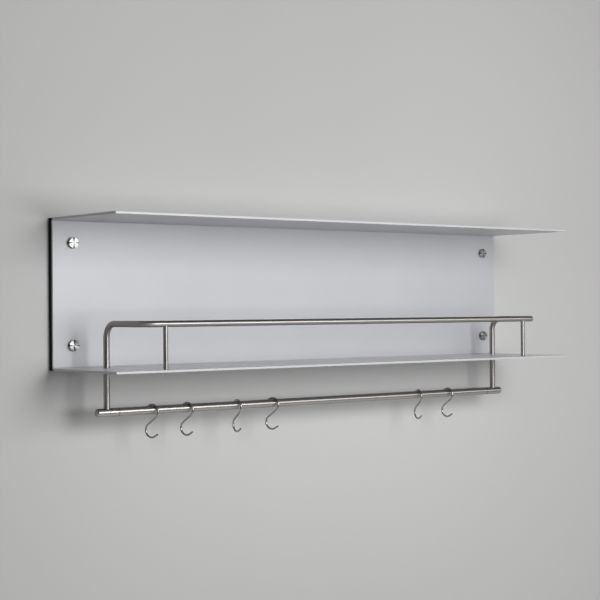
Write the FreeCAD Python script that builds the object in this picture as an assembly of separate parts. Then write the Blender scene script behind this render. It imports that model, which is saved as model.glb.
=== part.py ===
import FreeCAD, Part
import os
from math import atan2, cos, degrees, hypot, radians, sin

# Wall shelf folded from one sheet, with a bent gallery rod, a hanging rail and S-hooks.
# Millimetres. X runs along the wall, Y into the wall, Z up.
# The origin is the centre of the four wall screws, on the wall's surface.

# Folded sheet: back panel, top shelf and lower shelf
overall_width = 800.0
overall_depth = 160.0
shelf_height = 194.0
sheet = 3.0
fold_inside_radius = 2.0
corner_radius = 1.0
edge_break = 0.3

# Strips that stand the panel off the wall
strip_thickness = 6.0
strip_margin = 11.5

# Gallery rod, its legs and the two thin posts at the front
rod_diameter = 8.0
rod_bend_radius = 18.0
gallery_rise = 56.0
front_setback = 16.0
leg_setback = 107.0
leg_inset = 51.5
post_diameter = 6.0
post_offset = 29.0
weld_gap = 0.02

# Hanging rail, and the ends that carry it on the hanger rods
rail_diameter = 11.0
rail_wall = 1.0
rail_drop = 53.0
rail_end_length = 32.0
rail_end_rounding = 3.0
rail_joint_chamfer = 0.2
rail_seat_share = 0.6
rail_plug_length = 18.0
plug_clearance = 0.02

# Turned spigots at both ends of a hanger rod
spigot_diameter = 5.0
spigot_reach = 10.0
spigot_end_gap = 0.5
groove_depth = 0.4
groove_width = 3.4
hole_clearance = 0.2
thread_clearance = 0.05

# Grub screw that locks a rail end
grub_diameter = 3.0
grub_recess = 0.3
grub_point_height = 0.4
grub_socket = 1.5
grub_socket_depth = 1.1

# Countersunk screw into a post's foot
post_screw_diameter = 3.0
post_screw_head_diameter = 5.8
post_screw_bite = 8.0
post_screw_socket = 2.0
post_screw_socket_depth = 0.9

# Wall fixings: cap, threaded base and wall screw
fixing_inset_x = 28.5
fixing_inset_z = 31.5
cap_diameter = 14.0
cap_height = 4.6
cap_wall = 1.1
cap_face = 0.9
cap_edge = 0.3
base_gap = 0.3
wall_screw_diameter = 5.0
wall_screw_shank_diameter = 4.0
wall_screw_head_diameter = 8.0
wall_screw_length = 36.0
wall_screw_point = 5.0
recess_width = 1.0
recess_span = 4.4
recess_depth = 1.4

# S-hooks, of one wire with two equal bends and a straight middle
hook_wire = 2.5
hook_bend_radius = 9.25
hook_middle_length = 15.5
hook_tip_length = 6.5
hook_tip_angle = 32.0
hook_edge = 0.3
hook_clearance = 0.3
hook_lean_angle = 3.0
hook_place_shares = (-0.844, -0.680, -0.435, -0.254, 0.571, 0.754)
hook_turn_angles = (20.0, 18.0, -4.0, 21.0, -12.0, 8.0)

# Overrun that carries a cut clear past the faces that it opens
overrun = 1.0

# Levels and places that several pieces share
half_width = overall_width / 2
half_height = shelf_height / 2
sheet_back = -strip_thickness
panel_face = sheet_back - sheet
front_edge = -overall_depth
shelf_top = -half_height + sheet
shelf_under = -half_height
leg_x = half_width - leg_inset
leg_y = front_edge + leg_setback
front_y = front_edge + front_setback
gallery_z = shelf_top + gallery_rise
post_x = leg_x - post_offset
rail_z = shelf_under - rail_drop
rod_radius = rod_diameter / 2
rail_radius = rail_diameter / 2
seat_height = rail_radius * rail_seat_share
rail_end_reach = rail_end_length / 2
tube_reach = leg_x - rail_end_reach
spigot_radius = spigot_diameter / 2
fixing_x = half_width - fixing_inset_x
fixing_z = half_height - fixing_inset_z
base_height = cap_height - cap_face - base_gap

X = FreeCAD.Vector(1, 0, 0)
Y = FreeCAD.Vector(0, 1, 0)
Z = FreeCAD.Vector(0, 0, 1)
SIDES = (("left", -1), ("right", 1))
LEVELS = (("upper", 1), ("lower", -1))


def at(x, y, z):
    return FreeCAD.Vector(x, y, z)


def block(low, high):
    """A box from its lowest corner to its highest."""
    size = high - low
    return Part.makeBox(size.x, size.y, size.z, low)


def rod(start, along, length, diameter):
    return Part.makeCylinder(diameter / 2, length, start, along)


def countersunk(front, along, head_diameter, shank_diameter):
    """The right-angled cone of a countersunk head, wide at the front."""
    height = (head_diameter - shank_diameter) / 2
    return Part.makeCone(head_diameter / 2, shank_diameter / 2, height, front, along)


def hex_socket(centre, along, across_flats, depth):
    """A six-sided recess, cut from its centre along Y or Z."""
    to_corner = X * (across_flats / 2 / cos(radians(30)))
    corners = [centre + FreeCAD.Rotation(along, 60.0 * step).multVec(to_corner) for step in range(7)]
    return Part.Face(Part.makePolygon(corners)).extrude(along * depth)


def rim_at(shape, centre):
    """The circular edge whose centre is nearest to a point."""
    circles = [edge for edge in shape.Edges if isinstance(edge.Curve, Part.Circle)]
    return min(circles, key=lambda edge: (edge.Curve.Center - centre).Length)


def round_section(place, heading, diameter):
    return Part.Face(Part.Wire(Part.makeCircle(diameter / 2, place, heading)))


def bent(section, place, heading, steps):
    """One section bent as on a bench: each step is a straight length, a bend angle and its axis."""
    pieces = []
    for length, bend_radius, angle, axis in steps:
        pieces.append(section.extrude(heading * length))
        section = section.translated(heading * length)
        place = place + heading * length
        if angle:
            centre = place + axis.cross(heading) * bend_radius
            pieces.append(section.revolve(centre, axis, angle))
            section = section.rotated(centre, axis, angle)
            turn = FreeCAD.Rotation(axis, angle)
            place = centre + turn.multVec(place - centre)
            heading = turn.multVec(heading)
    return pieces[0].multiFuse(pieces[1:]).removeSplitter()


def shelf_sheet():
    """One sheet folded twice into a C, with rounded front corners, broken edges and drilled holes."""
    low = at(-half_width, front_edge, shelf_under)
    corners = [low, low + X * overall_width, low + X * overall_width + Z * sheet, low + Z * sheet, low]
    section = Part.Face(Part.makePolygon(corners))
    fold_radius = fold_inside_radius + sheet / 2
    shelf_flat = sheet_back - front_edge - sheet - fold_inside_radius
    panel_flat = shelf_height - 2 * sheet - 2 * fold_inside_radius
    steps = (
        (shelf_flat, fold_radius, 90.0, X),
        (panel_flat, fold_radius, 90.0, X),
        (shelf_flat, fold_radius, 0.0, X),
    )
    body = bent(section, low + Z * (sheet / 2), Y, steps)
    front_face_edges = [edge for edge in body.Edges if edge.BoundBox.YMax < front_edge + sheet / 2]
    corners = [edge for edge in front_face_edges if edge.BoundBox.ZLength > sheet / 2]
    body = body.makeFillet(corner_radius, corners)
    inner_width = overall_width - 2 * corner_radius - sheet / 2
    outline = [edge for edge in body.Edges if not is_fold_line(edge, inner_width)]
    body = body.makeChamfer(edge_break, outline)
    return body.cut(Part.makeCompound(sheet_holes()))


def is_fold_line(edge, inner_width):
    """Whether an edge of the plain folded sheet lies where a flat meets a bend."""
    return edge.BoundBox.XLength > inner_width and edge.BoundBox.YMin > front_edge + sheet


def sheet_holes():
    """Cutters for the wall screws, the hanger rods' spigots and the posts' countersunk screws."""
    cutters = []
    drill = sheet + 2 * overrun
    for _, side in SIDES:
        for _, level in LEVELS:
            start = at(side * fixing_x, panel_face - overrun, level * fixing_z)
            cutters.append(rod(start, Y, drill, wall_screw_diameter + 2 * hole_clearance))
        start = at(side * leg_x, leg_y, shelf_under - overrun)
        cutters.append(rod(start, Z, drill, spigot_diameter + 2 * hole_clearance))
        foot = at(side * post_x, front_y, shelf_under)
        cutters.append(rod(foot - Z * overrun, Z, drill, post_screw_diameter + 2 * hole_clearance))
        cutters.append(countersunk(foot, Z, post_screw_head_diameter, post_screw_diameter))
    return cutters


def spacer_strip(side):
    """A black strip between the panel and the wall, pierced by two wall screws."""
    inner = side * (fixing_x - strip_margin)
    outer = side * half_width
    low = at(min(inner, outer), sheet_back, -half_height)
    strip = block(low, at(max(inner, outer), 0, half_height))
    for _, level in LEVELS:
        start = at(side * fixing_x, sheet_back - overrun, level * fixing_z)
        drill = strip_thickness + 2 * overrun
        strip = strip.cut(rod(start, Y, drill, wall_screw_diameter + 2 * hole_clearance))
    return strip


def gallery_rod():
    """One bar, bent four times, that stands on the lower shelf on two legs with tapped feet."""
    side_run = leg_y - front_y - 2 * rod_bend_radius
    front_run = 2 * leg_x - 2 * rod_bend_radius
    leg = gallery_rise - rod_bend_radius
    steps = (
        (leg, rod_bend_radius, 90.0, X),
        (side_run, rod_bend_radius, 90.0, Z),
        (front_run, rod_bend_radius, 90.0, Z),
        (side_run, rod_bend_radius, 90.0, -X),
        (leg, rod_bend_radius, 0.0, X),
    )
    start = at(-leg_x, leg_y, shelf_top)
    bar = bent(round_section(start, Z, rod_diameter), start, Z, steps)
    for _, side in SIDES:
        mouth = at(side * leg_x, leg_y, shelf_top - overrun)
        depth = spigot_reach + spigot_end_gap + overrun
        bar = bar.cut(rod(mouth, Z, depth, spigot_diameter + 2 * thread_clearance))
    return bar


def front_post(side):
    """A thin post, coped at the top to the gallery's front run, with a tapped foot."""
    foot = at(side * post_x, front_y, shelf_top)
    post = rod(foot, Z, gallery_rise, post_diameter)
    saddle = at(side * post_x - rod_diameter, front_y, gallery_z)
    post = post.cut(rod(saddle, X, 2 * rod_diameter, rod_diameter + 2 * weld_gap))
    depth = post_screw_bite + spigot_end_gap + overrun
    return post.cut(rod(foot - Z * overrun, Z, depth, post_screw_diameter + 2 * thread_clearance))


def post_screw(side):
    """A countersunk socket screw, up through the lower shelf into a post."""
    foot = at(side * post_x, front_y, shelf_under)
    shank = rod(foot, Z, sheet + post_screw_bite, post_screw_diameter)
    head = countersunk(foot, Z, post_screw_head_diameter, post_screw_diameter)
    screw = head.fuse(shank).removeSplitter()
    return screw.cut(hex_socket(foot, Z, post_screw_socket, post_screw_socket_depth))


def hanger_rod(side):
    """A rod that hangs the rail: one spigot up into the gallery's leg, a grooved one down."""
    seat = at(side * leg_x, leg_y, rail_z + seat_height)
    top = at(side * leg_x, leg_y, shelf_under)
    body = rod(seat, Z, rail_drop - seat_height, rod_diameter)
    upper = rod(top, Z, sheet + spigot_reach, spigot_diameter)
    lower = rod(seat, -Z, 2 * seat_height - spigot_end_gap, spigot_diameter)
    turned = body.multiFuse([upper, lower]).removeSplitter()
    groove_base = seat - Z * (seat_height + groove_width / 2)
    ring = rod(groove_base, Z, groove_width, 2 * spigot_diameter)
    core = rod(groove_base, Z, groove_width, spigot_diameter - 2 * groove_depth)
    return turned.cut(ring.cut(core))


def hanging_rail():
    """The round tube that the hooks hang on, between the two rail ends."""
    left = at(-tube_reach, leg_y, rail_z)
    length = 2 * tube_reach
    tube = rod(left, X, length, rail_diameter)
    rims = [rim_at(tube, left), rim_at(tube, left + X * length)]
    tube = tube.makeChamfer(rail_joint_chamfer, rims)
    bore = rail_diameter - 2 * rail_wall
    return tube.cut(rod(left - X * overrun, X, length + 2 * overrun, bore))


def rail_end(side):
    """The turned end of the rail: seated on the hanger rod, with a plug into the rail's tube."""
    centre = at(side * leg_x, leg_y, rail_z)
    outward = X * side
    joint = centre - outward * rail_end_reach
    tip = centre + outward * rail_end_reach
    body = rod(joint, outward, rail_end_length, rail_diameter)
    body = body.makeFillet(rail_end_rounding, [rim_at(body, tip)])
    body = body.makeChamfer(rail_joint_chamfer, [rim_at(body, joint)])
    plug_diameter = rail_diameter - 2 * rail_wall - 2 * plug_clearance
    end = body.fuse(rod(joint, -outward, rail_plug_length, plug_diameter)).removeSplitter()
    seat = centre + Z * seat_height
    end = end.cut(rod(seat, Z, rail_diameter, rod_diameter + 2 * thread_clearance))
    end = end.cut(rod(seat, -Z, 2 * seat_height, spigot_diameter + 2 * thread_clearance))
    return end.cut(rod(centre, Y, rail_diameter, grub_diameter + 2 * thread_clearance))


def grub_screw(side):
    """A socket grub screw at the back of a rail end, its point in the spigot's groove."""
    centre = at(side * leg_x, leg_y, rail_z)
    tip = centre + Y * (spigot_radius - groove_depth + thread_clearance)
    shoulder = tip + Y * grub_point_height
    face = centre + Y * (rail_radius - grub_recess)
    tip_radius = grub_diameter / 2 - grub_point_height
    point = Part.makeCone(tip_radius, grub_diameter / 2, grub_point_height, tip, Y)
    body = rod(shoulder, Y, (face - shoulder).Length, grub_diameter)
    screw = point.fuse(body).removeSplitter()
    return screw.cut(hex_socket(face, -Y, grub_socket, grub_socket_depth))


def fixing_base(side, level):
    """The threaded disc that a wall screw clamps to the panel, and that the cap screws onto."""
    back = at(side * fixing_x, panel_face, level * fixing_z)
    front = back - Y * base_height
    disc = rod(back, -Y, base_height, cap_diameter - 2 * cap_wall - 2 * thread_clearance)
    disc = disc.cut(countersunk(front, Y, wall_screw_head_diameter, wall_screw_shank_diameter))
    drill = rod(back + Y * overrun, -Y, base_height + 2 * overrun, wall_screw_diameter + 2 * hole_clearance)
    return disc.cut(drill)


def wall_screw(side, level):
    """A countersunk wood screw, from its base through panel and strip into the wall."""
    wall = at(side * fixing_x, 0, level * fixing_z)
    front = wall + Y * (panel_face - base_height)
    head = countersunk(front, Y, wall_screw_head_diameter, wall_screw_shank_diameter)
    shank = rod(front, Y, (wall - front).Length, wall_screw_shank_diameter)
    straight = wall_screw_length - wall_screw_point
    thread = rod(wall, Y, straight, wall_screw_diameter)
    blunt = wall_screw_diameter / 8
    point = Part.makeCone(wall_screw_diameter / 2, blunt, wall_screw_point, wall + Y * straight, Y)
    screw = head.multiFuse([shank, thread, point]).removeSplitter()
    for wide, tall in ((recess_span, recess_width), (recess_width, recess_span)):
        low = front - at(wide / 2, overrun, tall / 2)
        screw = screw.cut(block(low, front + at(wide / 2, recess_depth, tall / 2)))
    return screw


def fixing_cap(side, level):
    """A turned cup with a flat face that hides the base and the wall screw."""
    back = at(side * fixing_x, panel_face, level * fixing_z)
    cup = rod(back, -Y, cap_height, cap_diameter)
    cup = cup.makeChamfer(cap_edge, [rim_at(cup, back - Y * cap_height)])
    bore_depth = cap_height - cap_face + overrun
    return cup.cut(rod(back + Y * overrun, -Y, bore_depth, cap_diameter - 2 * cap_wall))


def s_hook(place_share, turn_angle):
    """One wire with two equal bends. It hangs on the rail, a little turned and leaning a little back."""
    level = FreeCAD.Rotation(Z, turn_angle).multVec(-Y)
    across = level.cross(Z)
    swing = FreeCAD.Rotation(across, -hook_lean_angle)
    forward, upward = swing.multVec(level), swing.multVec(Z)
    spread = hypot(2 * hook_bend_radius, hook_middle_length)
    slant = degrees(atan2(2 * hook_bend_radius, hook_middle_length))
    drop = hook_bend_radius - hook_wire / 2 - rail_radius - hook_clearance
    middle = at(place_share * tube_reach, leg_y, rail_z - drop) - upward * (spread / 2)
    tilt = radians(hook_tip_angle)
    tip_way = forward * cos(tilt) + upward * sin(tilt)
    tip_radial = forward * sin(tilt) - upward * cos(tilt)
    tip = tip_radial * hook_bend_radius + tip_way * hook_tip_length - upward * (spread / 2)
    bend_angle = 90.0 + hook_tip_angle + slant
    steps = (
        (hook_tip_length, hook_bend_radius, bend_angle, -across),
        (hook_middle_length, hook_bend_radius, bend_angle, across),
        (hook_tip_length, hook_bend_radius, 0.0, across),
    )
    start = middle + tip
    wire = bent(round_section(start, -tip_way, hook_wire), start, -tip_way, steps)
    return wire.makeChamfer(hook_edge, [rim_at(wire, start), rim_at(wire, middle - tip)])


def build_pieces():
    pieces = {"shelf_sheet": shelf_sheet(), "gallery_rod": gallery_rod(), "hanging_rail": hanging_rail()}
    for name, side in SIDES:
        pieces["spacer_strip_" + name] = spacer_strip(side)
        pieces["front_post_" + name] = front_post(side)
        pieces["post_screw_" + name] = post_screw(side)
        pieces["hanger_rod_" + name] = hanger_rod(side)
        pieces["rail_end_" + name] = rail_end(side)
        pieces["grub_screw_" + name] = grub_screw(side)
        for level_name, level in LEVELS:
            corner = level_name + "_" + name
            pieces["fixing_base_" + corner] = fixing_base(side, level)
            pieces["wall_screw_" + corner] = wall_screw(side, level)
            pieces["fixing_cap_" + corner] = fixing_cap(side, level)
    for number, (share, angle) in enumerate(zip(hook_place_shares, hook_turn_angles), 1):
        pieces["s_hook_" + str(number)] = s_hook(share, angle)
    return pieces


os.makedirs("parts", exist_ok=True)
for node, shape in build_pieces().items():
    shape.exportStep("parts/" + node + ".step")
    print(node, "solids", len(shape.Solids), "valid", shape.isValid(), "volume", round(shape.Volume, 1))
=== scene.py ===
# %% [markdown]
# # A folded metal wall shelf, dressed for its picture
# The shelf is one sheet folded into a C. A bent rod makes a low gallery on the lower shelf, a round
# rail hangs below it, and six S-hooks hang on the rail. Every piece already exists as a fixed frame
# with its real size and place. This lesson adds the finishes, remakes the pieces whose bends, rims or
# threads need a mesh of their own, and lights the result. The frame is loaded first, because most sizes
# are read from it.

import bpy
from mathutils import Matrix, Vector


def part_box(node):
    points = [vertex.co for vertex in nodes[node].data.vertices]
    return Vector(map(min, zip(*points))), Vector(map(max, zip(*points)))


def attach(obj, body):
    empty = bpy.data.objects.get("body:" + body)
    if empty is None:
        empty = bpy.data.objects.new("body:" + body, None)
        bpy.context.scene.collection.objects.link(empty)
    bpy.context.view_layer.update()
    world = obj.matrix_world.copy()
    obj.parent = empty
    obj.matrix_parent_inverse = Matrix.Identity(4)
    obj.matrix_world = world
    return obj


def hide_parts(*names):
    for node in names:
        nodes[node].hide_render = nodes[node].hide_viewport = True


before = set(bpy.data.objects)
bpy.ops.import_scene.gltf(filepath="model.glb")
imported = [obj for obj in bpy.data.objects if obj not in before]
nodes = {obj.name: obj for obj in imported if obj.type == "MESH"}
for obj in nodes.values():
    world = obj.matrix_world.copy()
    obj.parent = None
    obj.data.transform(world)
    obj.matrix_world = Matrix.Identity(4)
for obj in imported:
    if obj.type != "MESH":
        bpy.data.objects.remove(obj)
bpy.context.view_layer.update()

from math import atan2, cos, hypot, pi, radians, sin

import bmesh
import bpy
from mathutils import Matrix, Vector

scene = bpy.context.scene

# %% [markdown]
# ## Sizes read from the frame
# A size that the frame holds is measured there and never typed again: a node's box gives its middle and
# its size. The hanger rod is measured first. It gives the diameter of the 8 mm bars, and the place of
# the gallery's legs, which stand in line with it.

# %% Measure the frame
mm = 0.001
X = Vector((1, 0, 0))
Y = Vector((0, 1, 0))
Z = Vector((0, 0, 1))
SIDES = ("left", "right")
LEVELS = ("upper", "lower")


def middle_of(node):
    low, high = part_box(node)
    return (low + high) / 2


def size_of(node):
    low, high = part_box(node)
    return high - low


rod_radius = size_of("hanger_rod_right").x / 2
leg = middle_of("hanger_rod_right")
print("rod radius", round(rod_radius / mm, 3), "mm, leg at", round(leg.x / mm, 2), round(leg.y / mm, 2))

# %% [markdown]
# ## From a working mesh to a finished piece
# Each remade piece is worked in a bmesh, Blender's editable mesh. When it is done, it becomes an object
# that stays at the origin, shades smooth except over real edges, rides on its body, and hides the
# frame nodes that it stands for. One helper does this for every piece, so that no step is forgotten.

# %% A helper that finishes a piece
sharp_degrees = 32


def finished(name, work, body, slot, *stands_for):
    bmesh.ops.recalc_face_normals(work, faces=work.faces[:])
    mesh = bpy.data.meshes.new(name)
    work.to_mesh(mesh)
    work.free()
    mesh.shade_smooth()
    mesh.set_sharp_from_angle(angle=radians(sharp_degrees))
    piece = bpy.data.objects.new(name, mesh)
    scene.collection.objects.link(piece)
    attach(piece, body)
    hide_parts(*stands_for)
    print(name, "has", len(mesh.polygons), "faces")
    return piece


print("edges of more than", sharp_degrees, "degrees stay sharp")

# %% [markdown]
# ## Bending round stock
# The gallery and the hooks are bent from straight bar, as on a bending bench. A ring of vertices is the
# bar's section. Each vertex keeps two notes in attributes. The note named grain is its place on the
# unbent bar, so that the lines in the finish can follow the bends. The note named run is the way that
# the bar runs there, which tells the finish how its shine is drawn out. A curve object with a round
# bevel would be quicker, but it keeps no such notes.

# %% Helpers for the bar's section
def ring_of(geometry):
    return [item for item in geometry if isinstance(item, bmesh.types.BMEdge)]


def corners_of(edges):
    return list(dict.fromkeys(corner for edge in edges for corner in edge.verts))


def note(work, edges, travel, heading):
    """Writes how far along the unbent bar a ring is, and the way that the bar runs there."""
    grain = work.verts.layers.float_vector["grain"]
    run = work.verts.layers.float_vector["run"]
    for corner in corners_of(edges):
        corner[grain] = Vector((corner[grain].x, corner[grain].y, travel))
        corner[run] = heading


def first_ring(work, radius, facets, start, heading):
    """Draws the bar's section where the bar starts, square to its heading."""
    work.verts.layers.float_vector.new("grain")
    work.verts.layers.float_vector.new("run")
    bmesh.ops.create_circle(work, cap_ends=False, segments=facets, radius=radius)
    grain = work.verts.layers.float_vector["grain"]
    for corner in work.verts:
        corner[grain] = corner.co.copy()
    note(work, work.edges[:], 0.0, heading)
    turn = heading.to_track_quat("Z", "Y").to_matrix().to_4x4()
    work.transform(Matrix.Translation(start) @ turn)
    return work.edges[:]


# %% [markdown]
# ### Straight lengths and bends
# A straight length extrudes the ring and moves it. A bend spins the ring about the bend's centre, a
# small step at a time, and the notes are written after each step. Both hand back the new ring, from
# which the bar goes on.

# %% Helpers that carry the section along
def run_straight(work, ring, step):
    made = bmesh.ops.extrude_edge_only(work, edges=ring)["geom"]
    new_corners = [item for item in made if isinstance(item, bmesh.types.BMVert)]
    bmesh.ops.translate(work, verts=new_corners, vec=step)
    return [edge for edge in ring_of(made) if all(corner in new_corners for corner in edge.verts)]


def run_bend(work, ring, centre, axis, angle):
    swept = bmesh.ops.spin(
        work, geom=corners_of(ring) + ring, cent=centre, axis=axis, angle=angle, steps=1,
    )
    return ring_of(swept["geom_last"])


# %% [markdown]
# ### A whole bar
# The bar is a list of steps. Each step is a straight length and then a bend, which may be none. The
# place and the heading of the bar's end are carried along with it, so a step needs no coordinates of
# its own.

# %% A helper that bends a whole bar
def bent_bar(radius, facets, start, heading, steps, arc_step):
    """A bar with open ends. Each step is a length, a bend radius, a bend angle and the bend's axis."""
    work = bmesh.new()
    ring = first_ring(work, radius, facets, start, heading)
    ends = [ring]
    place = start.copy()
    travel = 0.0
    for length, bend_radius, angle, axis in steps:
        ring = run_straight(work, ring, heading * length)
        place = place + heading * length
        travel = travel + length
        note(work, ring, travel, heading)
        if angle:
            centre = place + axis.cross(heading) * bend_radius
            count = max(2, round(angle * bend_radius / arc_step))
            for part in range(count):
                ring = run_bend(work, ring, centre, axis, angle / count)
                travel += angle * bend_radius / count
                turned_by = angle * (part + 1) / count
                note(work, ring, travel, Matrix.Rotation(turned_by, 3, axis) @ heading)
            turn = Matrix.Rotation(angle, 3, axis)
            place = centre + turn @ (place - centre)
            heading = turn @ heading
    ends.append(ring)
    return work, ends


# %% [markdown]
# ### Closing the ends
# Both open ends of a bar are filled with one face each. Where a cut end is ground round, as on a hook,
# the rim of that face gets a small bevel of three steps, which looks round at this size.

# %% A helper that closes a bar
def close_ends(work, ends, rounding):
    rims = []
    for ring in ends:
        made = bmesh.ops.edgeloop_fill(work, edges=ring)["faces"]
        rims += [edge for face in made for edge in face.edges]
    if rounding:
        bmesh.ops.bevel(
            work, geom=rims, offset=rounding, offset_type="OFFSET", segments=3, profile=0.5,
            affect="EDGES", material=-1, clamp_overlap=True,
        )


# %% [markdown]
# ## The gallery rod
# One 8 mm bar rises from the lower shelf, bends forward, runs along the front and returns the same way.
# Its bends are 18 mm to the bar's axis, and the frame gives every other length. Its ends stand on the
# sheet, so they are left square.

# %% Bend the gallery rod
quarter = pi / 2
gallery_bend = 18 * mm
gallery_facets = 48
gallery_arc_step = 1.5 * mm
gallery_low, gallery_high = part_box("gallery_rod")
gallery_z = gallery_high.z - rod_radius
gallery_front_y = gallery_low.y + rod_radius
leg_run = gallery_z - gallery_low.z - gallery_bend
side_run = leg.y - gallery_front_y - 2 * gallery_bend
front_run = 2 * leg.x - 2 * gallery_bend
gallery_steps = (
    (leg_run, gallery_bend, quarter, X),
    (side_run, gallery_bend, quarter, Z),
    (front_run, gallery_bend, quarter, Z),
    (side_run, gallery_bend, quarter, -X),
    (leg_run, gallery_bend, 0, X),
)
gallery_start = Vector((-leg.x, leg.y, gallery_low.z))
gallery_work, gallery_ends = bent_bar(
    rod_radius, gallery_facets, gallery_start, Z, gallery_steps, gallery_arc_step,
)
close_ends(gallery_work, gallery_ends, 0)
gallery = finished("gallery_rod_bent", gallery_work, "shelf", "rod_steel", "gallery_rod")
print("gallery bends of", gallery_bend / mm, "mm, front run", round(front_run / mm, 1), "mm")

# %% [markdown]
# ## The S-hooks
# A hook is one wire with two equal bends and a straight middle. Each hook hangs a little turned about
# its own plumb line, and leans back by a few degrees. Its size comes from the bend radius, the middle
# and the tips. Its place and its body come from the frame node that it stands for, so each hook still
# slides on the rail.

# %% The shape of one hook
hook_wire = 2.5 * mm
hook_bend = 9.25 * mm
hook_middle = 15.5 * mm
hook_tip = 6.5 * mm
hook_tip_angle = radians(32)
hook_lean = radians(3)
hook_facets = 20
hook_arc_step = 0.7 * mm
hook_spread = hypot(2 * hook_bend, hook_middle)
hook_bend_angle = quarter + hook_tip_angle + atan2(2 * hook_bend, hook_middle)


def s_hook(node, turn_degrees):
    level_way = Matrix.Rotation(radians(turn_degrees), 3, "Z") @ -Y
    across = level_way.cross(Z)
    swing = Matrix.Rotation(-hook_lean, 3, across)
    forward = swing @ level_way
    upward = swing @ Z
    tip_way = forward * cos(hook_tip_angle) + upward * sin(hook_tip_angle)
    tip_radial = forward * sin(hook_tip_angle) - upward * cos(hook_tip_angle)
    tip = tip_radial * hook_bend + tip_way * hook_tip - upward * (hook_spread / 2)
    steps = (
        (hook_tip, hook_bend, hook_bend_angle, -across),
        (hook_middle, hook_bend, hook_bend_angle, across),
        (hook_tip, hook_bend, 0, across),
    )
    return bent_bar(
        hook_wire / 2, hook_facets, middle_of(node) + tip, -tip_way, steps, hook_arc_step,
    )


print("each bend of a hook turns its wire by", round(hook_bend_angle / radians(1), 1), "degrees")

# %% [markdown]
# ### Six of them
# The six hooks are the same wire shape, each with its own turn in degrees, and their cut ends are ground
# round.

# %% Bend the six hooks
hook_end_round = 0.45 * mm
hook_turns = (20, 18, -4, 21, -12, 8)
hooks = []
for number, turn_degrees in enumerate(hook_turns, 1):
    node = f"s_hook_{number}"
    work, ends = s_hook(node, turn_degrees)
    close_ends(work, ends, hook_end_round)
    hook = finished(f"hook_{number}_bent", work, f"hook_{number}", "hook_steel", node)
    hooks.append(hook)

# %% [markdown]
# ## The caps
# A cap is turned in a lathe, and a spin is Blender's lathe: half of the section, drawn as a chain of
# edges, goes once round the axis. The rim is a rounded one, because a rounding catches the light in a
# thin bright line, which a plain chamfer can't do.

# %% A helper that turns a section
same_place = 0.001 * mm


def turned(section, facets):
    """Spins a chain of (radius, along) points once about Y. Points on the axis close the piece."""
    work = bmesh.new()
    corners = [work.verts.new((radius, along, 0)) for radius, along in section]
    for first, second in zip(corners, corners[1:]):
        work.edges.new((first, second))
    chain = work.verts[:] + work.edges[:]
    bmesh.ops.spin(
        work, geom=chain, cent=(0, 0, 0), axis=Y, angle=2 * pi, steps=facets, use_merge=True,
    )
    bmesh.ops.remove_doubles(work, verts=work.verts[:], dist=same_place)
    return work


# %% [markdown]
# ### A cap's section
# The section starts at the middle of the face, goes round the rim and back over the open inside. One
# more corner lies on the flat face just inside the rounding, so that the face itself shades flat.

# %% Turn the caps
cap_facets = 72
cap_round = 0.4 * mm
cap_round_steps = 4
cap_flat_end = 1.5 * cap_round
cap_break = 0.15 * mm
cap_wall = 1.1 * mm
cap_face = 0.9 * mm
corner_names = [level + "_" + side for level in LEVELS for side in SIDES]


def cap_section(radius, height):
    turns = [quarter * part / cap_round_steps for part in range(cap_round_steps + 1)]
    rounding = [
        (radius - cap_round * (1 - sin(turn)), cap_round * (1 - cos(turn))) for turn in turns
    ]
    outside = [(0, 0), (radius - cap_flat_end, 0), *rounding, (radius, height - cap_break)]
    inside = [(radius - cap_break, height), (radius - cap_wall, height), (radius - cap_wall, cap_face)]
    return outside + inside + [(0, cap_face)]


caps = {}
for corner in corner_names:
    node = "fixing_cap_" + corner
    work = turned(cap_section(size_of(node).x / 2, size_of(node).y), cap_facets)
    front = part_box(node)[0].y
    work.transform(Matrix.Translation((middle_of(node).x, front, middle_of(node).z)))
    caps[corner] = finished("cap_" + corner, work, "shelf", "cap_steel", node)

# %% [markdown]
# ## The wall screws
# A wood screw's thread is one ridge wound round its core. A spin that also moves along its axis winds
# it: the section is a single pitch long, so each turn meets the one before. The point is then drawn in
# by scaling the rings near the end. A texture could only paint the thread on, and these screws are seen
# from behind.

# %% A helper that winds the thread
thread_pitch = 2.2 * mm
thread_core = 1.75 * mm
thread_crest = 2.5 * mm
thread_steps_per_turn = 24
ridge_starts = 0.45
crest_starts = 0.7
crest_ends = 0.75
point_length = 5 * mm
point_share = 0.25


def wind_thread(work, reach):
    """Winds a thread from zero to its reach, along Y. The ridge's places are shares of the pitch."""
    ridge = (
        (thread_core, 0), (thread_core, ridge_starts),
        (thread_crest, crest_starts), (thread_crest, crest_ends), (thread_core, 1),
    )
    corners = [work.verts.new((radius, share * thread_pitch, 0)) for radius, share in ridge]
    edges = [work.edges.new(pair) for pair in zip(corners, corners[1:])]
    turns = (reach - thread_pitch) / thread_pitch
    steps = round(turns * thread_steps_per_turn)
    travel = Y * ((reach - thread_pitch) / steps)
    bmesh.ops.spin(
        work, geom=corners + edges, cent=(0, 0, 0), axis=Y, dvec=travel,
        angle=2 * pi * turns, steps=steps,
    )
    bmesh.ops.remove_doubles(work, verts=work.verts[:], dist=same_place)
    for corner in work.verts:
        share = max(0.0, (corner.co.y - reach + point_length) / point_length)
        drawn_in = 1 - share * (1 - point_share)
        corner.co.x *= drawn_in
        corner.co.z *= drawn_in
    bmesh.ops.holes_fill(work, edges=[edge for edge in work.edges if edge.is_boundary], sides=0)


print("thread of", thread_pitch / mm, "mm pitch,", 2 * thread_crest / mm, "mm across")

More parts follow.
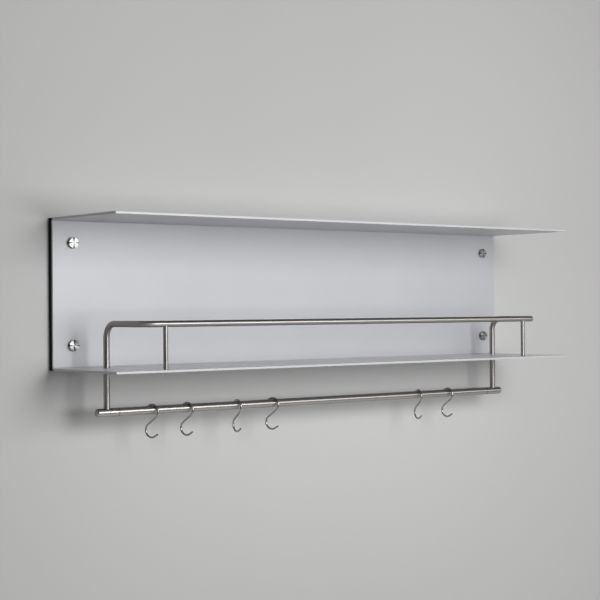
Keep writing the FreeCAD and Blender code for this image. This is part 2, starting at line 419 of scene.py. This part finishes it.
# %% [markdown]
# ### The head
# The head is countersunk and has a crossed recess. A ring is extruded forward for the shank and once
# more for the cone, and the cone's far end is widened to the head's rim. The recess starts as the
# outline of a cross in the head's face. The flat between rim and cross is filled with triangles, since a
# bridge between two loops in one plane can come out twisted. The outline is then pressed in and closed
# by the recess's floor.

# %% A helper that shapes the head
head_facets = 32
shank_radius = 2 * mm
recess_half_span = 2.2 * mm
recess_half_width = 0.5 * mm
recess_depth = 1.4 * mm


def ring_at(work, radius, along):
    made = bmesh.ops.create_circle(work, cap_ends=False, segments=head_facets, radius=radius)["verts"]
    bmesh.ops.rotate(work, verts=made, cent=(0, 0, 0), matrix=Matrix.Rotation(quarter, 3, "X"))
    bmesh.ops.translate(work, verts=made, vec=Y * along)
    return list(dict.fromkeys(edge for corner in made for edge in corner.link_edges))


def screw_head(work, radius, front):
    neck = front + radius - shank_radius
    back_ring = ring_at(work, shank_radius, thread_pitch)
    bmesh.ops.edgeloop_fill(work, edges=back_ring)
    neck_ring = run_straight(work, back_ring, Y * (neck - thread_pitch))
    rim = run_straight(work, neck_ring, Y * (front - neck))
    widening = radius / shank_radius
    bmesh.ops.scale(work, verts=corners_of(rim), vec=(widening, 1, widening))
    arm = (
        Vector((recess_half_span, front, recess_half_width)),
        Vector((recess_half_width, front, recess_half_width)),
        Vector((recess_half_width, front, recess_half_span)),
    )
    outline = [Matrix.Rotation(-quarter * part, 3, "Y") @ point for part in range(4) for point in arm]
    corners = [work.verts.new(point) for point in outline]
    mouth = [work.edges.new((corners[index - 1], corners[index])) for index in range(len(corners))]
    bmesh.ops.triangle_fill(work, edges=rim + mouth, use_beauty=True)
    bmesh.ops.edgeloop_fill(work, edges=run_straight(work, mouth, Y * recess_depth))


# %% [markdown]
# ### The four screws
# A wall screw's head is the low end of its node's box, and its point is the high end, inside the wall.
# The thread starts at the wall's face, which is at zero, and the shank ends one pitch behind that face,
# so it covers the thread's start.

# %% Make the wall screws
screws_wound = []
for corner in corner_names:
    node = "wall_screw_" + corner
    screw_low, screw_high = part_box(node)
    work = bmesh.new()
    wind_thread(work, screw_high.y)
    screw_head(work, size_of(node).x / 2, screw_low.y)
    work.transform(Matrix.Translation((middle_of(node).x, 0, middle_of(node).z)))
    screws_wound.append(finished("screw_" + corner, work, "shelf", "screw_steel", node))

# %% [markdown]
# ## Wiring nodes in a few words
# A finish is a tree of shader nodes. Wiring it by hand takes several lines for each node, so a few
# helpers do that: they add a node, give its sockets a value or another node's output, and hand back
# what comes out.

# %% Helpers that add and join nodes
def add(tree, kind, **settings):
    node = tree.nodes.new("ShaderNode" + kind)
    for name, value in settings.items():
        setattr(node, name, value)
    return node


def give(tree, socket, source):
    """Joins another node's output to a socket, or sets the socket's own value."""
    if isinstance(source, bpy.types.NodeSocket):
        tree.links.new(source, socket)
    else:
        socket.default_value = source


def feed(tree, node, **inputs):
    """Gives a node's inputs by name. Spaces in a socket's name are written as low lines."""
    for name, source in inputs.items():
        give(tree, node.inputs[name.replace("_", " ")], source)
    return node


# %% [markdown]
# ### Sums and ranges
# Most of a finish is arithmetic on places. These helpers stand for the Math, Vector Math, Separate XYZ
# and Map Range nodes, and each hands back an output that the next one can take.

# %% Helpers that work out a value
def maths(tree, operation, *values):
    node = add(tree, "Math", operation=operation)
    for socket, source in zip(node.inputs, values):
        give(tree, socket, source)
    return node.outputs[0]


def vector_maths(tree, operation, *values):
    node = add(tree, "VectorMath", operation=operation)
    for socket, source in zip(node.inputs, values):
        give(tree, socket, source)
    return node.outputs["Value" if operation in ("LENGTH", "DOT_PRODUCT") else "Vector"]


def scaled(tree, vector, factor):
    node = add(tree, "VectorMath", operation="SCALE")
    give(tree, node.inputs[0], vector)
    give(tree, node.inputs["Scale"], factor)
    return node.outputs[0]


def parts_of(tree, vector):
    """The X, Y and Z of a vector, as three outputs with these names."""
    return feed(tree, add(tree, "SeparateXYZ"), Vector=vector).outputs


def spread(tree, source, low, high, to_low, to_high):
    """Maps a range of values onto another, held at both ends."""
    node = add(tree, "MapRange", clamp=True)
    feed(tree, node, Value=source, From_Min=low, From_Max=high, To_Min=to_low, To_Max=to_high)
    return node.outputs["Result"]


# %% [markdown]
# ### Patterns and colours
# Nearly every pattern on metal, paint or rubber starts as a noise, and nearly every colour change is a
# blend of two colours by a mask. These two helpers stand for the Noise and the Mix node.

# %% Helpers for noise and colour
def noise(tree, vector, scale, detail, roughness=0.5):
    """A noise's outputs: the first is one value, and the one named Color is three."""
    node = add(tree, "TexNoise")
    return feed(tree, node, Vector=vector, Scale=scale, Detail=detail, Roughness=roughness).outputs


def blended(tree, mask, first, second):
    """Goes from one colour to another by a mask. A colour is three numbers or another node's output."""
    node = add(tree, "Mix", data_type="RGBA")
    give(tree, node.inputs["Factor"], mask)
    colour_sockets = [socket for socket in node.inputs if socket.type == "RGBA"]
    for socket, colour in zip(colour_sockets, (first, second)):
        give(tree, socket, colour if isinstance(colour, bpy.types.NodeSocket) else (*colour, 1.0))
    return [socket for socket in node.outputs if socket.type == "RGBA"][0]


# %% [markdown]
# ## Node groups shared by the finishes
# Several finishes need the same effect, so each effect is a node group with named inputs and outputs.
# It is built once and placed in each material with its own values. A group gives only masks, values and
# normals. The shader stays in each material, where its own settings can be read.

# %% A helper that starts a group
def new_group(name, inputs, outputs):
    tree = bpy.data.node_groups.new(name, "ShaderNodeTree")
    for label, kind, value in inputs:
        socket = tree.interface.new_socket(label, in_out="INPUT", socket_type="NodeSocket" + kind)
        socket.default_value = value
    for label, kind in outputs:
        tree.interface.new_socket(label, in_out="OUTPUT", socket_type="NodeSocket" + kind)
    print("group", name, "gives", [label for label, kind in outputs])
    return tree, tree.nodes.new("NodeGroupInput").outputs, tree.nodes.new("NodeGroupOutput").inputs


# %% [markdown]
# ### Fine grain
# A blasted and anodised sheet has a skin of tiny pits, a fraction of a millimetre across, and it is
# never quite even over a hand's breadth. One noise gives the pits, and another, far larger, the slow
# change.

# %% Group: fine grain
def fine_grain_group():
    inputs = (
        ("Vector", "Vector", (0, 0, 0)),
        ("Pits per metre", "Float", 6000.0),
        ("Clouds per metre", "Float", 9.0),
    )
    outputs = (("Pits", "Float"), ("Clouds", "Float"))
    tree, given, result = new_group("Fine grain", inputs, outputs)
    pits = noise(tree, given["Vector"], given["Pits per metre"], detail=2.0, roughness=0.6)
    clouds = noise(tree, given["Vector"], given["Clouds per metre"], detail=3.0)
    give(tree, result["Pits"], pits[0])
    give(tree, result["Clouds"], spread(tree, clouds[0], 0.3, 0.7, 0.0, 1.0))
    return tree


fine_grain = fine_grain_group()

# %% [markdown]
# ### Lines left by drawing and grinding
# Bar and wire are drawn and ground, which leaves fine lines all one way. The group takes a vector that
# is already stretched along the lines and gives their height, with a slow change that breaks up the
# shine.

# %% Group: drawn lines
patches_per_line = 0.04


def drawn_lines_group():
    inputs = (("Vector", "Vector", (0, 0, 0)), ("Lines per metre", "Float", 9000.0))
    outputs = (("Lines", "Float"), ("Patches", "Float"))
    tree, given, result = new_group("Drawn lines", inputs, outputs)
    lines = noise(tree, given["Vector"], given["Lines per metre"], detail=2.0, roughness=0.7)
    patches_per_metre = maths(tree, "MULTIPLY", given["Lines per metre"], patches_per_line)
    patches = noise(tree, given["Vector"], patches_per_metre, detail=2.0)
    give(tree, result["Lines"], lines[0])
    give(tree, result["Patches"], spread(tree, patches[0], 0.35, 0.65, 0.0, 1.0))
    return tree


drawn_lines = drawn_lines_group()

# %% [markdown]
# ### Handling marks
# Hands and cloths leave faint, soft-edged smears on bare metal. They change how rough the metal looks
# and hardly its colour, so the group gives one mask that the finishes add to their roughness. A first
# noise pushes the places about, so that the smears of the second one wander.

# %% Group: handling marks
smear_wander = 0.05


def handling_marks_group():
    inputs = (("Vector", "Vector", (0, 0, 0)), ("Marks per metre", "Float", 14.0))
    tree, given, result = new_group("Handling marks", inputs, (("Marks", "Float"),))
    push = noise(tree, given["Vector"], given["Marks per metre"], detail=1.0)
    wander = (smear_wander, smear_wander, smear_wander)
    moved = vector_maths(tree, "MULTIPLY_ADD", push["Color"], wander, given["Vector"])
    marks = noise(tree, moved, given["Marks per metre"], detail=4.0, roughness=0.55)
    give(tree, result["Marks"], spread(tree, marks[0], 0.5, 0.72, 0.0, 1.0))
    return tree


handling_marks = handling_marks_group()

# %% [markdown]
# ### Rings left by turning
# The caps are faced on a lathe, and the tool leaves rings about the middle. A ring tips the surface
# towards or away from the middle. The rings are far finer than a pixel, so the group works out the
# tipped normal itself instead of leaving it to a Bump node. Such a face looks dark in wedges, where its
# rings mirror the dark of the room. On these caps the wedges make a cross, and the group also gives a
# mask of that cross, by which the finish paints this dark reflection into the colour as a painted
# reflection. The group needs the place measured from the middle of the turned face.

# %% Group: turned rings
# Where the dark reflection is painted: the core of each wedge and its soft edge.
painted_wedge_core = 0.10
painted_wedge_edge = 0.26


def turned_rings_group():
    inputs = (
        ("From middle", "Vector", (0, 0, 0)),
        ("Axis", "Vector", (0, -1, 0)),
        ("Rings per metre", "Float", 4000.0),
        ("Tip", "Float", 0.2),
    )
    outputs = (("Normal", "Vector"), ("Ring", "Float"), ("Painted wedge", "Float"))
    tree, given, result = new_group("Turned rings", inputs, outputs)
    along = vector_maths(tree, "DOT_PRODUCT", given["From middle"], given["Axis"])
    flat = vector_maths(tree, "SUBTRACT", given["From middle"], scaled(tree, given["Axis"], along))
    rings = maths(tree, "MULTIPLY", vector_maths(tree, "LENGTH", flat), given["Rings per metre"])
    wave = maths(tree, "SINE", maths(tree, "MULTIPLY", rings, 2 * pi))
    outward = vector_maths(tree, "NORMALIZE", flat)
    tipped = scaled(tree, outward, maths(tree, "MULTIPLY", wave, given["Tip"]))
    face = add(tree, "NewGeometry").outputs["Normal"]
    normal = vector_maths(tree, "NORMALIZE", vector_maths(tree, "ADD", face, tipped))
    split = parts_of(tree, outward)
    aside = maths(tree, "ABSOLUTE", split["X"])
    above = maths(tree, "ABSOLUTE", split["Z"])
    off_cross = maths(tree, "MINIMUM", aside, above)
    give(tree, result["Normal"], normal)
    give(tree, result["Ring"], spread(tree, wave, -1.0, 1.0, 0.0, 1.0))
    give(tree, result["Painted wedge"], spread(tree, off_cross, painted_wedge_core, painted_wedge_edge, 1.0, 0.0))
    return tree


turned_rings = turned_rings_group()

# %% [markdown]
# ## Finishes
# Each finish is one material with one Principled shader. A helper makes the shader and sets what is the
# same all over the surface on the shader's own sockets. The node groups then vary the colour, the
# roughness and the normal. Another helper puts a finish on its pieces.

# %% Helpers that make a finish and put it on
def new_finish(name, colour, metallic, roughness, **even):
    finish = bpy.data.materials.new(name)
    finish.use_nodes = True
    tree = finish.node_tree
    shader = tree.nodes["Principled BSDF"]
    feed(tree, shader, Base_Color=(*colour, 1.0), Metallic=metallic, Roughness=roughness, **even)
    return finish, tree, shader


def put_on(finish, *pieces):
    for piece in pieces:
        piece.data.materials.clear()
        piece.data.materials.append(finish)
    print(finish.name, "on", [piece.name for piece in pieces])


# %% [markdown]
# ### What every finish shares
# A pattern reads its place from Object coordinates, which stay with the piece when it moves. A group is
# placed with its own values. Handling marks add a little roughness, and a fine relief goes through a
# Bump node.

# %% Helpers that dress a finish
smear_roughness = 0.03


def object_place(tree):
    return add(tree, "TexCoord").outputs["Object"]


def use_group(tree, group, **inputs):
    node = add(tree, "Group", node_tree=group)
    return feed(tree, node, **inputs).outputs


def smeared(tree, roughness, **inputs):
    """Adds the handling marks to a roughness."""
    marks = use_group(tree, handling_marks, **inputs)["Marks"]
    return maths(tree, "ADD", roughness, maths(tree, "MULTIPLY", marks, smear_roughness))


def bumped(tree, height, strength, depth):
    node = add(tree, "Bump")
    return feed(tree, node, Height=height, Strength=strength, Distance=depth).outputs[0]


# %% [markdown]
# ### Blasted aluminium for the sheet
# The sheet is silver anodised over a blasted skin: matt, a little blue, with a broad soft shine. Its
# cut edges are painted a little lighter than its faces, as a painted highlight. Their mask is worked
# out from the distance to the sheet's outline, which the frame gives. Where the sheet faces up, it is
# painted paler, as painted light from above, and the surface's normal tells where that is.

# %% Finish: blasted aluminium
sheet_dark = (0.545, 0.55, 0.575)
sheet_light = (0.565, 0.57, 0.595)
# Painted highlight on the sheet's cut edges, and how far in from the outline it reaches.
painted_edge_highlight = (0.60, 0.60, 0.615)
edge_highlight_width = 0.9 * mm
# Painted light from above: faces that look up are made paler.
painted_top_light_tone = (0.78, 0.78, 0.78)
painted_top_light_share = 0.45
top_light_starts = 0.6
top_light_full = 0.95
sheet_low, sheet_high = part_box("shelf_sheet")


def blasted_aluminium():
    finish, tree, shader = new_finish(
        "blasted_aluminium", sheet_light, metallic=0.2, roughness=0.65,
        Coat_Weight=0.7, Coat_Roughness=0.32,
    )
    place = object_place(tree)
    grain = use_group(tree, fine_grain, Vector=place)
    split = parts_of(tree, place)
    from_side = maths(tree, "SUBTRACT", sheet_high.x, maths(tree, "ABSOLUTE", split["X"]))
    from_front = maths(tree, "SUBTRACT", split["Y"], sheet_low.y)
    nearest = maths(tree, "MINIMUM", from_side, from_front)
    edge = spread(tree, nearest, 0.0, edge_highlight_width, 1.0, 0.0)
    upward = parts_of(tree, add(tree, "NewGeometry").outputs["Normal"])["Z"]
    painted_top_light = spread(tree, upward, top_light_starts, top_light_full, 0.0, painted_top_light_share)
    tone = blended(tree, grain["Clouds"], sheet_dark, sheet_light)
    # Painted highlight: the cut edges are made lighter.
    tone = blended(tree, edge, tone, painted_edge_highlight)
    # Painted light from above on the faces that look up.
    tone = blended(tree, painted_top_light, tone, painted_top_light_tone)
    pitted = spread(tree, grain["Pits"], 0.3, 0.7, 0.62, 0.68)
    feed(tree, shader, Base_Color=tone, Roughness=smeared(tree, pitted, Vector=place))
    feed(tree, shader, Normal=bumped(tree, grain["Pits"], strength=0.25, depth=0.05 * mm))
    return finish


put_on(blasted_aluminium(), nodes["shelf_sheet"])

# %% [markdown]
# ### Rubber for the strips
# The strips behind the panel are black rubber with a faint mould grain. Rubber mirrors hardly anything,
# so its shine is turned down, and it is rough all over.

# %% Finish: black rubber
rubber_dark = (0.009, 0.009, 0.008)
rubber_light = (0.017, 0.016, 0.015)


def black_rubber():
    finish, tree, shader = new_finish(
        "black_rubber", rubber_light, metallic=0.0, roughness=0.9, Specular_IOR_Level=0.2,
    )
    grain = use_group(tree, fine_grain, Vector=object_place(tree), Pits_per_metre=2500.0)
    tone = blended(tree, grain["Clouds"], rubber_dark, rubber_light)
    feed(tree, shader, Base_Color=tone, Roughness=spread(tree, grain["Pits"], 0.3, 0.7, 0.8, 1.0))
    feed(tree, shader, Normal=bumped(tree, grain["Pits"], strength=0.4, depth=0.1 * mm))
    return finish


strips = [nodes["spacer_strip_" + side] for side in SIDES]
put_on(black_rubber(), *strips)

# %% [markdown]
# ### Ground steel for bars, rail and wire
# Stainless steel shows what stands around it, so its look is mostly the room. The grinding lines run
# round a bar, so they draw its shine out along the bar: the Anisotropic socket does that, and the
# Tangent socket says which way. A bent piece gives the way by its note named run. A straight one takes
# the way round its axis from a Tangent node, turned by a quarter.

# %% Helpers that draw out the shine
drawn_out = 0.75
quarter_turn = 0.25


def noted(tree, name):
    return add(tree, "Attribute", attribute_name=name).outputs["Vector"]


def draw_out_shine(tree, shader, axis):
    if axis:
        round_axis = add(tree, "Tangent", direction_type="RADIAL", axis=axis).outputs[0]
        feed(tree, shader, Tangent=round_axis, Anisotropic_Rotation=quarter_turn)
    else:
        feed(tree, shader, Tangent=noted(tree, "run"))


# %% [markdown]
# ### The rail's joint line
# A rail end is pushed against the rail, and the joint shows as a thin dark line all round. The real
# seam is finer than a pixel, so it is drawn a little wider in the finish, at a distance from the rail's
# middle, along X.

# %% A helper that draws the joint line
seam_tone = (0.03, 0.028, 0.025)
seam_core = 0.2 * mm
seam_edge = 0.55 * mm


def with_seam(tree, tone, place, joint):
    from_middle = maths(tree, "ABSOLUTE", parts_of(tree, place)["X"])
    from_joint = maths(tree, "ABSOLUTE", maths(tree, "SUBTRACT", from_middle, joint))
    seam = spread(tree, from_joint, seam_core, seam_edge, 1.0, 0.0)
    return blended(tree, seam, tone, seam_tone)


# %% [markdown]
# ### The steel itself
# The lines give a faint relief, and the slow patches along them vary the colour and the roughness a
# little. A squeeze of the pattern along its lines makes them long. On a bent piece the pattern lies on
# the unbent bar, by the note named grain, so it follows the bends.

# %% Finish: ground steel
patch_contrast = 0.05


def ground_steel(name, colour, smooth, rough, squeeze, axis=None, joint=None, shine=drawn_out):
    """Steel whose roughness lies between two values. A bent piece has no axis, but its two notes."""
    finish, tree, shader = new_finish(name, colour, metallic=1.0, roughness=smooth, Anisotropic=shine)
    draw_out_shine(tree, shader, axis)
    place = object_place(tree)
    mapping = add(tree, "Mapping", vector_type="POINT")
    feed(tree, mapping, Vector=place if axis else noted(tree, "grain"), Scale=squeeze)
    lines = use_group(tree, drawn_lines, Vector=mapping.outputs[0])
    dark = [channel * (1 - patch_contrast) for channel in colour]
    light = [channel * (1 + patch_contrast) for channel in colour]
    tone = blended(tree, lines["Patches"], dark, light)
    if joint:
        tone = with_seam(tree, tone, place, joint)
    patchy = spread(tree, lines["Patches"], 0.0, 1.0, smooth, rough)
    feed(tree, shader, Base_Color=tone)
    feed(tree, shader, Roughness=smeared(tree, patchy, Vector=place, Marks_per_metre=30.0))
    feed(tree, shader, Normal=bumped(tree, lines["Lines"], strength=0.05, depth=0.002 * mm))
    return finish


# %% [markdown]
# ### The same steel on each kind of piece
# On a bar the lines lie round it, and on the drawn wire along it. The rail is ground finer than the
# rods, so it is less rough, and the wire of the hooks is nearly as it left the drawing die. The screws
# and bases are plain machined steel, with lines of no special way.

# %% Put the steel on bars, rail, wire and screws
steel_tone = (0.37, 0.355, 0.34)
wire_tone = (0.33, 0.315, 0.30)
screw_tone = (0.55, 0.54, 0.52)
squeezed = 0.04
round_the_bar = (squeezed, squeezed, 1.0)
round_the_rail = (1.0, squeezed, squeezed)
along_the_wire = (1.0, 1.0, squeezed)
all_ways = (1.0, 1.0, 1.0)
rail_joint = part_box("hanging_rail")[1].x

gallery_steel = ground_steel(
    "gallery_steel", steel_tone, smooth=0.40, rough=0.45, squeeze=round_the_bar,
)
put_on(gallery_steel, gallery)
uprights = [nodes[kind + side] for kind in ("front_post_", "hanger_rod_") for side in SIDES]
upright_steel = ground_steel(
    "upright_steel", steel_tone, smooth=0.46, rough=0.50, squeeze=round_the_bar, axis="Z",
)
put_on(upright_steel, *uprights)
rail_pieces = [nodes["hanging_rail"]] + [nodes["rail_end_" + side] for side in SIDES]
rail_steel = ground_steel(
    "rail_steel", steel_tone, smooth=0.28, rough=0.32, squeeze=round_the_rail, axis="X",
    joint=rail_joint,
)
put_on(rail_steel, *rail_pieces)
hook_steel = ground_steel(
    "hook_wire_steel", wire_tone, smooth=0.10, rough=0.14, squeeze=along_the_wire, shine=0.2,
)
put_on(hook_steel, *hooks)
screws = [nodes[kind + side] for kind in ("post_screw_", "grub_screw_") for side in SIDES]
screws += [nodes["fixing_base_" + corner] for corner in corner_names] + screws_wound
screw_steel = ground_steel(
    "screw_steel", screw_tone, smooth=0.28, rough=0.36, squeeze=all_ways, axis="Y",
)
put_on(screw_steel, *screws)

# %% [markdown]
# ### Turned steel for the caps
# Each cap is faced on a lathe about its own middle, so each has its own material, whose Mapping node
# brings the pattern's middle to the cap's. The rings draw the shine out away from the middle, so the
# Tangent is the way outward. The group's mask of wedges paints the room's dark reflection into the
# colour itself, as a painted reflection.

# %% Finish: turned cap
cap_tone = (0.40, 0.40, 0.395)
# Painted reflection: the dark of the room that the caps' wedges mirror, painted into their colour.
painted_wedge_reflection = (0.045, 0.045, 0.042)
in_the_face = (1.0, 0.0, 1.0)


def turned_cap_steel(name, middle):
    finish, tree, shader = new_finish(name, cap_tone, metallic=1.0, roughness=0.33, Anisotropic=0.85)
    mapping = add(tree, "Mapping", vector_type="POINT")
    from_middle = feed(tree, mapping, Vector=object_place(tree), Location=-middle).outputs[0]
    rings = use_group(tree, turned_rings, From_middle=from_middle, Tip=0.03)
    flat = vector_maths(tree, "MULTIPLY", from_middle, in_the_face)
    outward = vector_maths(tree, "NORMALIZE", flat)
    rough = spread(tree, rings["Ring"], 0.0, 1.0, 0.31, 0.35)
    # Painted reflection: the cross of dark wedges goes into the cap's colour.
    tone = blended(tree, rings["Painted wedge"], cap_tone, painted_wedge_reflection)
    feed(tree, shader, Base_Color=tone, Normal=rings["Normal"], Roughness=rough, Tangent=outward)
    return finish


for corner in corner_names:
    put_on(turned_cap_steel("cap_face_" + corner, middle_of("fixing_cap_" + corner)), caps[corner])

# %% [markdown]
# ## The wall and the floor
# The shelf hangs on a plain painted wall over a pale floor. Both are only a stage. Each is seen from
# one side and lets the eye through from the other, by the Backfacing output, so that the shelf can be
# looked at from behind and from below.

# %% A helper for a stage plane
def stage_plane(name, corners, colour, dress):
    work = bmesh.new()
    work.faces.new([work.verts.new(corner) for corner in corners])
    mesh = bpy.data.meshes.new(name)
    work.to_mesh(mesh)
    work.free()
    plane = bpy.data.objects.new(name, mesh)
    scene.collection.objects.link(plane)
    finish, tree, shader = new_finish(name + "_paint", colour, metallic=0.0, roughness=0.8)
    chosen = add(tree, "MixShader")
    give(tree, chosen.inputs[0], add(tree, "NewGeometry").outputs["Backfacing"])
    give(tree, chosen.inputs[1], shader.outputs[0])
    give(tree, chosen.inputs[2], add(tree, "BsdfTransparent").outputs[0])
    give(tree, tree.nodes["Material Output"].inputs["Surface"], chosen.outputs[0])
    dress(tree, shader)
    mesh.materials.append(finish)
    print(name, "faces", [round(value, 2) for value in mesh.polygons[0].normal])
    return plane


# %% [markdown]
# ### Paint that is pale to the eye and in the metal
# Steel mirrors the whole room, and a pale floor would also throw light up at the shelf. So the floor
# and the far parts of the wall have a glow that only the eye and mirrored rays meet, by the Light Path
# node. Light and shade are also painted into the wall's tone: it is darker behind the shelf's middle,
# lighter towards both sides and below, and a broad soft pool of painted light under the rail makes it a
# little lighter there too.

# %% Paint for the wall and the floor
wall_paint = (0.55, 0.55, 0.545)
floor_paint = (0.3, 0.3, 0.29)
floor_glow = 0.6
far_wall_glow = 0.3


def looks_pale(tree, shader, strength):
    path = add(tree, "LightPath").outputs
    seen = maths(tree, "MAXIMUM", path["Is Camera Ray"], path["Is Glossy Ray"])
    glow = maths(tree, "MULTIPLY", seen, strength)
    feed(tree, shader, Emission_Color=(1.0, 1.0, 0.98, 1.0), Emission_Strength=glow)


def pale_floor(tree, shader):
    looks_pale(tree, shader, floor_glow)


def painted_light_on_wall(tree, shader):
    """Painted light: the tone is the sum of three shares, one across, one by the height, one from a pool
    of painted light.
    """
    place = object_place(tree)
    split = parts_of(tree, place)
    aside = maths(tree, "ABSOLUTE", split["X"])
    across = spread(tree, aside, 0.1, 0.7, 0.94, 1.12)
    lower = spread(tree, split["Z"], 0.1, -0.5, 0.03, 0.23)
    light_pool_mapping = add(tree, "Mapping", vector_type="TEXTURE")
    feed(tree, light_pool_mapping, Vector=place, Location=(0.0, 0.0, -0.17), Scale=(0.45, 1.0, 0.33))
    painted_light_pool = spread(tree, vector_maths(tree, "LENGTH", light_pool_mapping.outputs[0]), 0.3, 1.1, 0.09, 0.0)
    share = maths(tree, "ADD", maths(tree, "ADD", across, lower), painted_light_pool)
    # Painted light and shade: the wall's tone follows where the lamps' light falls more and less.
    feed(tree, shader, Base_Color=scaled(tree, wall_paint, share))
    far = vector_maths(tree, "LENGTH", place)
    looks_pale(tree, shader, spread(tree, far, 0.95, 2.2, 0.0, far_wall_glow))


# %% [markdown]
# ### The two planes
# The wall's face is at zero, where the frame has it. It casts no shadow, because a lamp stands behind
# it for the views from there.

# %% Build the stage
wall_reach = 4.0
floor_drop = 1.35
ceiling_height = 2.5
wall_corners = (
    (-wall_reach, 0, -floor_drop), (wall_reach, 0, -floor_drop),
    (wall_reach, 0, ceiling_height), (-wall_reach, 0, ceiling_height),
)
floor_corners = (
    (-wall_reach, 0, -floor_drop), (-wall_reach, -2 * wall_reach, -floor_drop),
    (wall_reach, -2 * wall_reach, -floor_drop), (wall_reach, 0, -floor_drop),
)
wall = stage_plane("wall", wall_corners, wall_paint, painted_light_on_wall)
wall.visible_shadow = False
stage_plane("floor", floor_corners, floor_paint, pale_floor)

# %% [markdown]
# ## Light
# The room is dark but for one large soft box in front of the shelf, the key. Its size, height and
# distance follow from the shadows: each gallery leg's shadow on the panel falls away from the middle
# and is about five times as wide as the leg, and the shelf's shadow on the wall ends about half the
# shelf's depth below it. A box is given by its glow, which is how bright its face looks, so that its
# size can change and the mirrored picture of it stays the same. Light linking lets a box light some of
# the pieces only.

# %% Helpers for lamps
def soft_box(name, place, size, glow, facing):
    """An area lamp that the camera doesn't see. A glow of 1 looks white."""
    width, height = size
    lamp = bpy.data.lights.new(name, "AREA")
    lamp.shape = "RECTANGLE"
    lamp.size = width
    lamp.size_y = height
    lamp.energy = glow * pi * width * height
    box = bpy.data.objects.new(name, lamp)
    box.location = place
    box.rotation_mode = "QUATERNION"
    box.rotation_quaternion = Vector(facing).to_track_quat("-Z", "Y")
    box.visible_camera = False
    scene.collection.objects.link(box)
    print(name, "at", [round(value, 2) for value in place], "gives", round(lamp.energy, 1), "W")
    return box


def lights_only(box, pieces):
    lit = bpy.data.collections.new(box.name + "_lit")
    for piece in pieces:
        lit.objects.link(piece)
    box.light_linking.receiver_collection = lit
    print(box.name, "lights only", len(pieces), "pieces")


# %% [markdown]
# ### The boxes
# A weak box to the right of the key fills its shadows a little. Rods, rail and wire mirror something
# brighter there than the matt sheet shows, so a second box in front of it lights the steel alone. It
# stands 5 cm nearer, because two lamps in one place get in each other's way. A faint box near the floor
# lifts the undersides. The last one stands behind the wall for the views from behind, and lights only
# what is seen there.

# %% Place the boxes
side_size = (1.6, 0.5)
nearer = 0.05
side_place = Vector((1.3, -1.4, 0.1))
back_place = Vector((0.4, 1.2, 0.6))
to_the_sheet = middle_of("shelf_sheet") - back_place

soft_box("key_box", place=Vector((0.05, -1.4, 0.205)), size=(0.72, 0.84), glow=9.2, facing=Y)
soft_box("side_box", place=side_place, size=side_size, glow=1.2, facing=Y)
glint_box = soft_box("glint_box", place=side_place - Y * nearer, size=side_size, glow=1.4, facing=Y)
lights_only(glint_box, [gallery, *uprights, *rail_pieces, *hooks])
soft_box("low_box", place=Vector((0.2, -0.9, -1.2)), size=(2.4, 1.2), glow=0.2, facing=Z)
back_box = soft_box("back_box", place=back_place, size=(1.3, 1.0), glow=3.0, facing=to_the_sheet)
lights_only(back_box, [nodes["shelf_sheet"], *strips, *screws])

# %% [markdown]
# ### The room's own glow
# What isn't wall or floor is the world. It lights the shelf very little, and looks pale grey to the eye
# where a view goes past the stage.

# %% Give the room its glow
room_glow = 0.04
room_looks = 0.55
world = bpy.data.worlds.new("dark_room")
world.use_nodes = True
scene.world = world
room_tree = world.node_tree
room = room_tree.nodes["Background"]
seen = add(room_tree, "LightPath").outputs["Is Camera Ray"]
to_the_eye = maths(room_tree, "MULTIPLY", seen, room_looks)
strength = maths(room_tree, "ADD", to_the_eye, room_glow)
feed(room_tree, room, Color=(1.0, 1.0, 1.0, 1.0), Strength=strength)
print("room glows", room_glow, "and looks like", round(room_glow + room_looks, 2))

# %% [markdown]
# ## The camera
# The camera stands where the photographer stood: left of the shelf and level with it, with a long lens.
# Its place and angles were fitted to the shelf's corners in the photo, and its focal length is kept in
# pixels of the 600-pixel frame.

# %% Place the camera
camera_place = Vector((-1.3186, -1.6541, -0.0210))
camera_yaw = radians(38.724)
camera_pitch = radians(0.352)
camera_roll = radians(-0.415)
focal_pixels = 1469.8
frame_pixels = 600
sensor_width = 36.0

level = Vector((cos(camera_yaw), -sin(camera_yaw), 0))
ahead = Vector((
    sin(camera_yaw) * cos(camera_pitch),
    cos(camera_yaw) * cos(camera_pitch),
    sin(camera_pitch),
))
upright = level.cross(ahead)
right = level * cos(camera_roll) + upright * sin(camera_roll)
up = upright * cos(camera_roll) - level * sin(camera_roll)
turned_camera = Matrix((right, up, -ahead)).transposed().to_4x4()
camera_data = bpy.data.cameras.new("camera")
camera_data.sensor_width = sensor_width
camera_data.lens = focal_pixels / frame_pixels * sensor_width
camera = bpy.data.objects.new("camera", camera_data)
scene.collection.objects.link(camera)
camera.matrix_world = Matrix.Translation(camera_place) @ turned_camera
scene.camera = camera
print("lens", round(camera_data.lens, 2), "mm on a sensor of", sensor_width, "mm")

# %% [markdown]
# ## Colours as they are written
# The Standard view shows a colour as it is written, so the lamps alone decide how bright the metal
# looks.

# %% Set the view
scene.view_settings.view_transform = "Standard"
